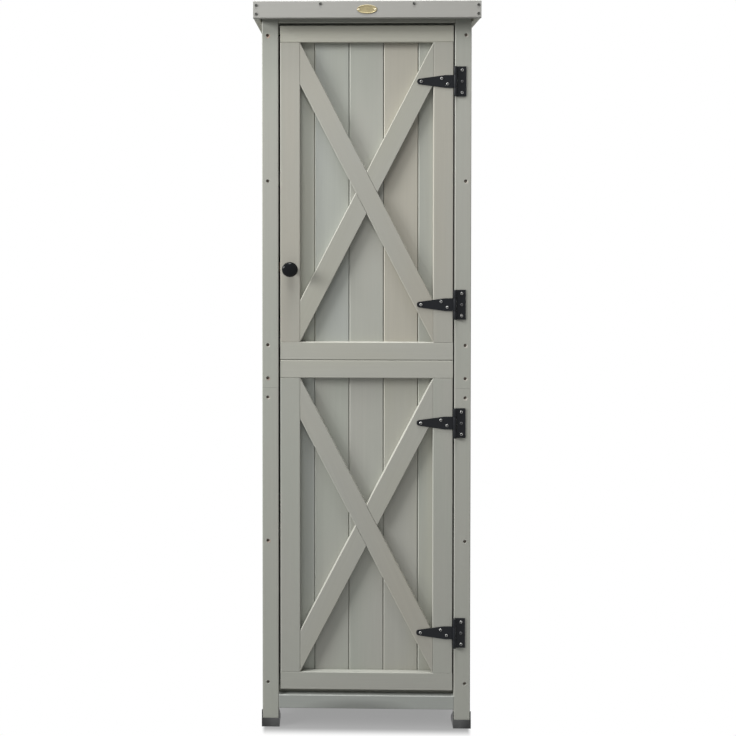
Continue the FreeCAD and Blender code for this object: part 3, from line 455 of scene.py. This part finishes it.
def brushed_brass():
    """Satin brass, brushed along its length and a little tarnished."""
    paint = Paint("Brass", Metallic=0.55, Roughness=0.42)
    place = paint.place()
    lines = paint.noise(paint.scaled(place, (60, 2600, 2600)), 1.0, 2.0)
    tarnish = paint.between(paint.noise(place, 130, 2.0), 0.35, 0.7)
    colour = paint.mix(tarnish, (0.37, 0.315, 0.175, 1), (0.28, 0.235, 0.13, 1))
    paint.set("Base Color", paint.shaded(colour, paint.between(lines, *SPAN, 0.93, 1.07)))
    paint.set("Roughness", paint.between(lines, *SPAN, 0.36, 0.5))
    paint.bump(lines, 0.00008, 0.4)
    return paint.material


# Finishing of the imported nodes: widths of their rounded edges, the steps of the rounding, and the angle in
# degrees from which an edge is rounded
WOOD_EDGE = 0.0004
IRON_EDGE = 0.0003
CAP_EDGE = 0.0005
CATCH_EDGE = 0.0008
EDGE_STEPS = 2
EDGE_ANGLE = 25
# Points this near are joined before the rounding, and when separate solids are told apart
JOIN_REACH = 0.00001
SAME_POINT = 0.000001
# The side boards of the roof keep sharp edges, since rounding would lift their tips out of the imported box
SHARP = ("roof_side_boards",)


def dress(node, material, edge=None):
    """Gives a node its material, and rounds its sharp edges a little, as paint and sanding leave them."""
    item = NODES[node]
    slots = item.data.materials
    slots.clear()
    slots.append(material)
    if edge is None:
        return
    weld = item.modifiers.new("Joined", "WELD")
    weld.merge_threshold = JOIN_REACH
    bevel = item.modifiers.new("Rounded", "BEVEL")
    bevel.width = edge
    bevel.segments = EDGE_STEPS
    bevel.limit_method = "ANGLE"
    bevel.angle_limit = math.radians(EDGE_ANGLE)


def solids(node):
    """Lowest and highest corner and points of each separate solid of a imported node."""
    made = bmesh.new()
    made.from_mesh(NODES[node].data)
    bmesh.ops.remove_doubles(made, verts=made.verts, dist=SAME_POINT)
    left = set(made.verts)
    found = []
    while left:
        group = [left.pop()]
        for vertex in group:
            for edge in vertex.link_edges:
                other = edge.other_vert(vertex)
                if other in left:
                    left.discard(other)
                    group.append(other)
        points = [vertex.co.copy() for vertex in group]
        found.append((Vector(map(min, zip(*points))), Vector(map(max, zip(*points))), points))
    made.free()
    return sorted(found, key=lambda solid: tuple(round(c, 5) for c in solid[0]))


# Screws of the front posts whose spot isn't the pale painted highlight, by the colour of the wood there, or
# by
# None where the stain is whole: left or right of the middle, and height
CHIP_GLINT_TABLE = {
    None: ((-1, 1.370), (-1, 0.112), (1, 0.470), (1, 0.112)),
    BARE_WOOD: ((-1, 1.732),),
    RUSTY: ((-1, 0.878), (-1, 0.470)),
}
WEAR_SPAN = 0.02
# How deep in a post's face its screws sit at most, and where their spots lie
SEAT_DEPTH = 0.01
CHIP_DEPTH = 0.001
# How far from a brace's end its corners lie at most
END_SPAN = 0.0005


def chip_glint_colour_at(place):
    """The colour of the spot at a screw: wood and rust at some, the pale painted highlight at the others,
    and None where the stain is whole.
    """
    for colour, spots in CHIP_GLINT_TABLE.items():
        if any(side * place.x > 0 and abs(place.z - height) < WEAR_SPAN for side, height in spots):
            return colour
    return GLINT_PALE


def chips_and_glints_on(node):
    """Spots at the screw recesses of a front post, at their lower right where the recess wall is lit, with
    their colours: wood and rust at some, a pale painted highlight at the others.
    """
    low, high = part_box(node)
    found = []
    for first, last, _ in solids("carcass_screws"):
        middle = (first + last) / 2
        across = low.x < middle.x < high.x and low.z < middle.z < high.z
        colour = chip_glint_colour_at(middle)
        if across and low.y < first.y < low.y + SEAT_DEPTH and colour:
            found.append(((middle.x + CHIP_GLINT_SHIFT, low.y + CHIP_DEPTH, middle.z - CHIP_GLINT_SHIFT), colour))
    return found


def edges_over(half):
    """Right edges of the latch stile and the braces in one half of the door, as painted_light_band() takes
    them.
    """
    stile_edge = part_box("door_stile_%s_latch" % half)[1].x
    edges = [((stile_edge + STILE_SHIFT, 0.0), (1.0, 0.0), STILE_PALE)]
    for kind, outer, side in (("long", max, 1), ("short", min, -1)):
        node = "brace_%s_%s" % (half, kind)
        low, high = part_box(node)
        corners = [vertex.co for vertex in NODES[node].data.vertices]
        ends = [outer(corner.z for corner in corners if abs(corner.x - end) < END_SPAN)
                for end in (low.x, high.x)]
        away = side * Vector((ends[0] - ends[1], high.x - low.x)).normalized()
        edges.append(((low.x, ends[0]), tuple(away), BRACE_PALE))
    return edges


# Painted shadow at the foot of the sill: its middle in X, half its size in X and Z, and its factor
SILL_SHADOW_MIDDLE = -0.02
SILL_SHADOW_SIZE = (0.145, 0.028)
SILL_SHADOW_FACTOR = 0.66


def marks_on(node):
    """Further shades of a node, as wood() takes them."""
    if node.startswith("front_post"):
        return [(butt_shade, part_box("front_post_lower_left")[1].z)]
    # Planks get painted light beside the braces and the latch stile
    if node.startswith("door_planks"):
        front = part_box(node)[0].y
        return [(painted_light_band, front, *edge) for edge in edges_over(node.split("_")[-1])]
    # The sill's painted shadow
    if node == "sill":
        return [(oval_shade, (SILL_SHADOW_MIDDLE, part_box("sill")[0].z), SILL_SHADOW_SIZE, SILL_SHADOW_FACTOR)]
    return []


def row_of(node, axis, count):
    """Axis, start and pitch of the boards of a node."""
    low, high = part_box(node)
    return (axis, low[axis], (high[axis] - low[axis]) / count)


# Turns that bring a board's length to Z
ALONG_Z = (0, 0, 0)
ALONG_X = (0, 90, 0)
ALONG_Y = (90, 0, 0)
# Pairs of hues of the door's planks, from the latch side
UPPER_PLANKS = ((SAGE, OLIVE), (SLATE, SAGE), (GREY, SAGE), (SAND, SAND), (SHADY, SHADY))
LOWER_PLANKS = ((SAGE, SLATE), (SAGE, GREY), (SAGE, GREY), (OLIVE, GREY), (SAGE, OLIVE))
# Axis, start and pitch that tell the back posts apart, one on each side of the middle
BACK_POSTS = (0, -0.5, 0.5)


def wood_table():
    """For each wooden node the turn of its grain, its hues, their level and its row of boards."""
    door = row_of("door_planks_upper", 0, 5)
    table = {
        "door_planks_upper": (ALONG_Z, UPPER_PLANKS, 0.385, door),
        "door_planks_lower": (ALONG_Z, LOWER_PLANKS, 0.375, door),
        "back_planks": (ALONG_Z, (GREY, SAGE), 0.37, row_of("back_planks", 0, 5)),
        "side_planks_left": (ALONG_Z, (SAGE, OLIVE), 0.37, row_of("side_planks_left", 1, 4)),
        "side_planks_right": (ALONG_Z, (SAGE, OLIVE), 0.37, row_of("side_planks_right", 1, 4)),
        "back_posts": (ALONG_Z, (GREY, SAGE), 0.36, BACK_POSTS),
        "sill": (ALONG_X, (SLATE, SLATE), 0.337, None),
        "roof_fascia": (ALONG_X, (PLAIN, PLAIN), 0.31, None),
        # The top rail's stain is painted lighter, a painted light against the fascia's shadow on it
        "door_rail_top": (ALONG_X, (OLIVE, OLIVE), 0.43, None),
        "door_rail_upper_seam": (ALONG_X, (GREY, OLIVE), 0.385, None),
        "door_rail_lower_seam": (ALONG_X, (GREY, OLIVE), 0.385, None),
        "door_rail_bottom": (ALONG_X, (GREY, SAGE), 0.355, None),
    }
    for half, tones in (("upper", (GREY, SAGE)), ("lower", (SAGE, GREY))):
        for hand in ("left", "right"):
            table["front_post_%s_%s" % (half, hand)] = (ALONG_Z, tones, 0.36, None)
            table["side_frame_%s_%s" % (half, hand)] = (ALONG_Z, (GREY, OLIVE), 0.36, None)
    for hand in ("latch", "hinge"):
        table["door_stile_upper_" + hand] = (ALONG_Z, (GREY, SAND), 0.358, None)
        table["door_stile_lower_" + hand] = (ALONG_Z, (SAGE, GREY), 0.352, None)
    for node in ("back_rails", "head_rail", "head_stop", "roof_back_board", "roof_boards", "floor_boards",
                 "shelf_low", "shelf_middle", "shelf_high"):
        table[node] = (ALONG_X, (SAGE, OLIVE), 0.37, None)
    for node in ("roof_side_boards", "battens"):
        table[node] = (ALONG_Y, (SAGE, OLIVE), 0.34, None)
    low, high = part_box("brace_upper_long")
    slant = math.degrees(math.atan2(high.x - low.x, high.z - low.z))
    for half in ("upper", "lower"):
        table["brace_%s_long" % half] = ((0, slant, 0), (GREY, SAND), 0.347, None)
        table["brace_%s_short" % half] = ((0, -slant, 0), (GREY, OLIVE), 0.352, None)
    return table


def dress_wood():
    for seed, (node, (grain, tones, level, row)) in enumerate(sorted(wood_table().items()), 1):
        chips_and_glints = chips_and_glints_on(node) if node.startswith("front_post") else ()
        material = wood(node, grain, seed, tones, level, row, chips_and_glints, marks_on(node))
        dress(node, material, None if node in SHARP else WOOD_EDGE)


def dress_fittings(finishes):
    for node in NODES:
        if node.startswith(("hinge_strap", "hinge_plate")):
            dress(node, finishes["black"], IRON_EDGE)
    for node in ("hinge_pins", "door_joining_plates", "carcass_joining_plates", "strike_plate"):
        dress(node, finishes["zinc"])
    for node in ("foot_caps_front", "foot_caps_back"):
        dress(node, finishes["caps"], CAP_EDGE)
    dress("roof_felt", mineral_felt())
    dress("magnetic_catch", coated("Catch_brown", (0.17, 0.11, 0.07, 1), 0.45), CATCH_EDGE)


# Pieces of their own
def piece(name, made, materials, body, *replaced, slot):
    """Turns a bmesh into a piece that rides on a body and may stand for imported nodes."""
    bmesh.ops.recalc_face_normals(made, faces=made.faces)
    mesh = bpy.data.meshes.new(name)
    made.to_mesh(mesh)
    made.free()
    for material in materials:
        mesh.materials.append(material)
    for face in mesh.polygons:
        face.use_smooth = True
    item = link(name, mesh)
    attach(item, body)
    if replaced:
        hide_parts(*replaced)
    return item


def lathe(made, profile, around, matrix, finish=0):
    """Turns a profile of (radius, height) about Z. The first and last points may lie on the axis."""
    turns = [2 * math.pi * step / around for step in range(around)]
    rings = []
    for radius, height in profile:
        if radius == 0:
            ring = [(0, 0, height)]
        else:
            ring = [(radius * math.cos(turn), radius * math.sin(turn), height) for turn in turns]
        rings.append([made.verts.new(matrix @ Vector(point)) for point in ring])
    join_rings(made, rings, finish)


def join_rings(made, rings, finish=0):
    """Faces between rings of points that follow each other."""
    faces = []
    for first, second in zip(rings, rings[1:]):
        count = max(len(first), len(second))
        for step in range(count):
            after = (step + 1) % count
            corners = [first[step % len(first)], first[after % len(first)],
                       second[after % len(second)], second[step % len(second)]]
            faces.append(made.faces.new(list(dict.fromkeys(corners))))
            faces[-1].material_index = finish
    return faces


def facing(place, out):
    """The matrix that puts a local Z axis at a place, pointing out."""
    return Matrix.Translation(place) @ Vector(out).to_track_quat("Z", "Y").to_matrix().to_4x4()


# Round-head screws with a cross recess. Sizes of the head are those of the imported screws.
HEAD_RADIUS = 0.0037
HEAD_HEIGHT = 0.0018
ARM_WIDTH = 0.0009
ARM_REACH = 0.0025
PIT_DEPTH = 0.0012
# Rings of the head: radius, share of the height, and share of the pit's depth inside the cross
HEAD_RINGS = [(1.5 * ARM_WIDTH, 1.0, 0.9), (ARM_REACH, 0.97, 0.55), (1.06 * ARM_REACH, 0.965, 0),
              (0.8 * HEAD_RADIUS, 0.86, 0), (0.95 * HEAD_RADIUS, 0.62, 0), (HEAD_RADIUS, 0.3, 0),
              (HEAD_RADIUS, 0.0, 0)]
# Points of a ring at one arm, in half angles of the arm: its walls outside and its floor inside
WALL = 1.15
# Largest sine of that half angle
WIDEST_ARM = 0.66
# Points this near count as the end of a packed screw
END_SKIN = 0.0001
SHANK_RADIUS = 0.0018
SHANK_SIDES = 10
# Share of the shank before its point
SHANK_STRAIGHT = 0.8
# Turn from each screw to the next
SCREW_TURN = 2.4
# Slots of the screws' materials, the last a painted shade for the pit of the cross. Recessed and stained
# screws have a cross that is no darker than the head.
SCREW_FINISHES = ("zinc", "dark", "dull", "stained", "recess")
COVERED = ("dark", "stained")


def head(made, matrix, finish, recess):
    """A pan head on the plane Z = 0: rings of four arms, two wall points and two floor points each."""
    rings = [[made.verts.new(matrix @ Vector((0, 0, HEAD_HEIGHT - PIT_DEPTH)))]]
    floor = {rings[0][0]}
    for radius, rise, pit in HEAD_RINGS:
        ring = []
        inner = math.asin(min(ARM_WIDTH / radius, WIDEST_ARM))
        points = ((-WALL * inner, False), (-inner, True), (inner, True), (WALL * inner, False),
                  (math.pi / 4, False))
        for arm in range(4):
            for turn, inside in points:
                angle = arm * math.pi / 2 + turn
                sunk = bool(pit) and inside
                height = HEAD_HEIGHT * rise - (PIT_DEPTH * pit if sunk else 0)
                place = Vector((radius * math.cos(angle), radius * math.sin(angle), height))
                ring.append(made.verts.new(matrix @ place))
                if sunk:
                    floor.add(ring[-1])
        rings.append(ring)
    # Faces mostly on the pit's floor take the recess finish, a painted shade
    for face in join_rings(made, rings, finish):
        if sum(vertex in floor for vertex in face.verts) * 2 >= len(face.verts):
            face.material_index = recess


def seat_of(low, high, points):
    """The place under a packed screw's head, the way it faces, and the length below the head."""
    size = high - low
    axis = max(range(3), key=lambda index: size[index])
    out = Vector([index == axis for index in range(3)])
    middle = (low + high) / 2
    spread = {}
    for end in (low[axis], high[axis]):
        near = [point for point in points if abs(point[axis] - end) < END_SKIN]
        spread[end] = max((point - middle).cross(out).length for point in near)
    top = max(spread, key=spread.get)
    if top == low[axis]:
        out.negate()
    seat = middle.copy()
    seat[axis] = top - HEAD_HEIGHT * out[axis]
    return seat, out, size[axis] - HEAD_HEIGHT


def screws(node, body, finishes, choose):
    """Stands for a node of packed screws, each at its place. choose gives the finish for a head's place."""
    made = bmesh.new()
    for number, (low, high, points) in enumerate(solids(node)):
        seat, out, length = seat_of(low, high, points)
        matrix = facing(seat, out) @ Matrix.Rotation(number * SCREW_TURN, 4, "Z")
        name = choose(seat)
        finish = SCREW_FINISHES.index(name)
        head(made, matrix, finish, finish if name in COVERED else SCREW_FINISHES.index("recess"))
        shank = [(SHANK_RADIUS, 0), (SHANK_RADIUS, -length * SHANK_STRAIGHT), (0, -length)]
        lathe(made, shank, SHANK_SIDES, matrix, finish)
    materials = [finishes[name] for name in SCREW_FINISHES]
    piece(node.title(), made, materials, body, node, slot="screw_zinc")


# Seats that agree, the carcass's half width below the roof, and how far the roof's front stands out
CLOSE = 0.001
CARCASS_HALF = 0.25
FASCIA_OUT = 0.01


def add_screws(finishes):
    plates = [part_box("hinge_plate_%d" % number) for number in range(1, 5)]
    middles = [(low.z + high.z) / 2 for low, high in plates]
    leaf_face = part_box("front_post_upper_left")[0].y

    def carcass(seat):
        """Dark in the posts, stained at the roof, and dull in the middle hole of each hinge plate."""
        if seat.y > leaf_face - CLOSE:
            return "dark"
        if abs(seat.x) > CARCASS_HALF or seat.y < leaf_face - FASCIA_OUT:
            return "stained"
        return "dull" if any(abs(seat.z - middle) < CLOSE for middle in middles) else "zinc"

    screws("carcass_screws", "cabinet", finishes, carcass)
    screws("door_screws", "door", finishes, lambda seat: "zinc")


# Knob, oval plate and small hardware
KNOB_PROFILE = [(0.0104, 0), (0.0106, 0.0012), (0.0094, 0.0026), (0.0086, 0.006), (0.0088, 0.010),
                (0.0108, 0.0140), (0.0150, 0.0167), (0.0186, 0.0183), (0.0197, 0.0191), (0.0200, 0.0202),
                (0.0198, 0.0215), (0.0191, 0.0235), (0.0180, 0.0253), (0.0165, 0.0267), (0.0145, 0.0277),
                (0.0105, 0.0288), (0.0065, 0.0296), (0.0030, 0.0299), (0, 0.0300)]
KNOB_SIDES = 48
# The cast knob is a little wider than tall, and hangs a little low on its screw
KNOB_TALL = 0.94
KNOB_LOW = 0.0012


def add_knob(finishes):
    low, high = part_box("knob")
    made = bmesh.new()
    matrix = facing(((low.x + high.x) / 2, high.y, (low.z + high.z) / 2 - KNOB_LOW), (0, -1, 0))
    lathe(made, KNOB_PROFILE, KNOB_SIDES, matrix @ Matrix.Diagonal((1, KNOB_TALL, 1, 1)))
    knob = piece("Knob", made, [finishes["knob"]], "door", "knob", slot="knob_black")
    smooth = knob.modifiers.new("Smooth", "SUBSURF")
    smooth.levels = 1
    smooth.render_levels = 1


# The oval plate's shares of its packed width and height, and its rings: metres in from the rim, and height
OVAL_SHARE = (0.965, 0.82)
OVAL_RINGS = [(0, 0), (0, 0.0009), (0.0004, 0.0013), (0.0011, 0.0015), (0.0019, 0.0014), (0.0024, 0.0010),
              (0.0034, 0.0009), (0.0080, 0.0010)]
OVAL_SIDES = 72
PIN_INSET = 0.0046
PIN_SUNK = 0.0001
PIN_PROFILE = [(0.0021, 0), (0.0020, 0.0004), (0.0014, 0.0007), (0, 0.0008)]
PIN_SIDES = 16


def add_oval_plate():
    low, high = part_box("oval_plate")
    middle = Vector(((low.x + high.x) / 2, high.y, (low.z + high.z) / 2))
    half_wide = OVAL_SHARE[0] * (high.x - low.x) / 2
    half_tall = OVAL_SHARE[1] * (high.z - low.z) / 2
    turns = [2 * math.pi * step / OVAL_SIDES for step in range(OVAL_SIDES)]
    made = bmesh.new()
    rings = []
    for inset, height in OVAL_RINGS:
        ring = []
        for turn in turns:
            x = middle.x + (half_wide - inset) * math.cos(turn)
            z = middle.z + (half_tall - inset) * math.sin(turn)
            ring.append(made.verts.new(Vector((x, middle.y - height, z))))
        rings.append(ring)
    rings.append([made.verts.new(facing(middle, (0, -1, 0)) @ Vector((0, 0, OVAL_RINGS[-1][1])))])
    join_rings(made, rings)
    for side in (-1, 1):
        seat = middle + Vector((side * (half_wide - PIN_INSET), PIN_SUNK - OVAL_RINGS[-2][1], 0))
        lathe(made, PIN_PROFILE, PIN_SIDES, facing(seat, (0, -1, 0)), 1)
    pin = coated("Pin_brass", (0.78, 0.72, 0.55, 1), 0.3, 0.8)
    piece("Oval_plate", made, [brushed_brass(), pin], "cabinet", "oval_plate", slot="oval_brass")


# Nails of the felt: spaces along its width and along its depth, and how far in from its edge they sit
NAIL_SPACES = (6, 5)
NAIL_INSET = 0.009
NAIL_PROFILE = [(0.0042, -0.0001), (0.0042, 0.0002), (0.0034, 0.0004), (0, 0.0005)]
NAIL_SIDES = 14


def add_felt_nails(finishes):
    """Flat-headed nails along the edges of the roofing felt, set on its sloping top."""
    mesh = NODES["roof_felt"].data
    top = max(mesh.polygons, key=lambda face: face.normal.z * face.area)
    corner = mesh.vertices[top.vertices[0]].co
    normal = top.normal.copy()
    low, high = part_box("roof_felt")
    wide, deep = NAIL_SPACES
    places = []
    for step in range(wide + 1):
        x = low.x + NAIL_INSET + step / wide * (high.x - low.x - 2 * NAIL_INSET)
        places += [(x, low.y + NAIL_INSET), (x, high.y - NAIL_INSET)]
    for step in range(1, deep):
        y = low.y + NAIL_INSET + step / deep * (high.y - low.y - 2 * NAIL_INSET)
        places += [(low.x + NAIL_INSET, y), (high.x - NAIL_INSET, y)]
    made = bmesh.new()
    for x, y in places:
        z = corner.z - (normal.x * (x - corner.x) + normal.y * (y - corner.y)) / normal.z
        lathe(made, NAIL_PROFILE, NAIL_SIDES, facing(Vector((x, y, z)), normal))
    piece("Felt_nails", made, [finishes["zinc"]], "cabinet", slot="screw_zinc")


# Screws of the sheet-metal plates: distances from the plates' edges, and turns that grow with their places
JOINING_IN = 0.008
JOINING_UP = (0.012, 0.034)
JOINING_TURNS = (90, 70)
STRIKE_UP = 0.007
STRIKE_SUNK = 0.0012
STRIKE_TURN = 50


def add_small_screws(finishes):
    """Heads that hold the joining plates of the carcass and the strike plate of the door."""
    # The second finish is a painted shade for the pits of the cross recesses
    materials = [finishes["zinc"], finishes["recess"]]
    made = bmesh.new()
    for low, high, _ in solids("carcass_joining_plates"):
        inward = 1 if low.x < 0 else -1
        face_x = high.x if inward > 0 else low.x
        for y in (low.y + JOINING_IN, high.y - JOINING_IN):
            for z in [low.z + up for up in JOINING_UP] + [high.z - up for up in reversed(JOINING_UP)]:
                turn = Matrix.Rotation(y * JOINING_TURNS[0] + z * JOINING_TURNS[1], 4, "Z")
                head(made, facing((face_x, y, z), (inward, 0, 0)) @ turn, 0, 1)
    piece("Plate_screws", made, materials, "cabinet", slot="screw_zinc")

    made = bmesh.new()
    low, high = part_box("strike_plate")
    for z in (low.z + STRIKE_UP, high.z - STRIKE_UP):
        place = ((low.x + high.x) / 2, high.y - STRIKE_SUNK, z)
        head(made, facing(place, (0, 1, 0)) @ Matrix.Rotation(z * STRIKE_TURN, 4, "Z"), 0, 1)
    piece("Strike_screws", made, materials, "door", slot="screw_zinc")


# The floor's corners, and its grey for light that bounces and to the camera, which sees it only in the
# painted shadow
FLOOR_CORNERS = [(-3, -3, 0), (3, -3, 0), (3, 3, 0), (-3, 3, 0)]
FLOOR_LIT = (0.25, 0.25, 0.25, 1)
FLOOR_SEEN = (0.06, 0.06, 0.06, 1)
# Where its painted shadow shows whole, as axis, middle, reach and narrowing, how far it fades beyond that,
# and how much white it keeps
SHADOW_SPANS = ((0, 0.0, 0.251, 2.5), (1, 0.01, 0.191, 0.75))
SHADOW_FADE = 0.030
SHADOW_WHITE = 0.315


def add_floor():
    """A pale floor: white to the camera, but for a painted soft shadow around the object's feet, where the
    lit floor shows through.
    """
    mesh = bpy.data.meshes.new("Floor")
    mesh.from_pydata(FLOOR_CORNERS, [], [(0, 1, 2, 3)])
    floor = link("Floor", mesh)
    paint = Paint("Floor", Roughness=0.9)
    seen = seen_ray(paint.tree)
    paint.set("Base Color", paint.mix(seen, FLOOR_LIT, FLOOR_SEEN))
    place = paint.place()
    away = []
    for axis, middle, reach, narrowing in SHADOW_SPANS:
        offset = paint.math("ABSOLUTE", paint.beyond(place, axis, middle))
        outside = paint.math("MAXIMUM", paint.math("SUBTRACT", offset, reach), 0.0)
        away.append(paint.math("POWER", paint.math("MULTIPLY", outside, narrowing), 2.0))
    distance = paint.math("SQRT", paint.total(*away))
    shown = paint.between(distance, 0.0, SHADOW_FADE, SHADOW_WHITE, 1.0, interpolation_type="SMOOTHSTEP")
    white = paint.node("Emission", {"Color": WHITE, "Strength": 1.0})
    blend = paint.node("MixShader", {0: paint.math("MULTIPLY", shown, seen),
                                     1: paint.shader.outputs[0], 2: white.outputs[0]})
    paint.tree.links.new(blend.outputs[0], paint.output.inputs[0])
    mesh.materials.append(paint.material)


def add_all():
    finishes = {
        "black": coated("Powder_coat", (0.0085, 0.0095, 0.0115, 1), 0.5,
                        gloss=0.18, grain=1400, spread=0.05, depth=0.00015),
        "zinc": coated("Zinc", (0.36, 0.36, 0.35, 1), 0.38, 1.0),
        "dark": coated("Dark_screw", (0.27, 0.23, 0.20, 1), 0.7, 0.1),
        "stained": coated("Stained_screw", (0.10, 0.10, 0.092, 1), 0.7, 0.1),
        "dull": coated("Dull_screw", (0.13, 0.13, 0.135, 1), 0.5, 0.7),
        # A painted shade for the pits of the screws' cross recesses
        "recess": coated("Screw_recess_shade", (0.035, 0.034, 0.033, 1), 0.6, 0.3),
        "caps": foot_plastic(),
        "knob": coated("Knob_lacquer", (0.003, 0.0038, 0.0048, 1), 0.1, gloss=0.13, spread=0.02),
    }
    add_camera()
    add_lamps()
    add_world()
    add_floor()
    dress_wood()
    dress_fittings(finishes)
    add_screws(finishes)
    add_knob(finishes)
    add_oval_plate()
    add_felt_nails(finishes)
    add_small_screws(finishes)


add_all()
bpy.context.scene.view_settings.view_transform = "Standard"
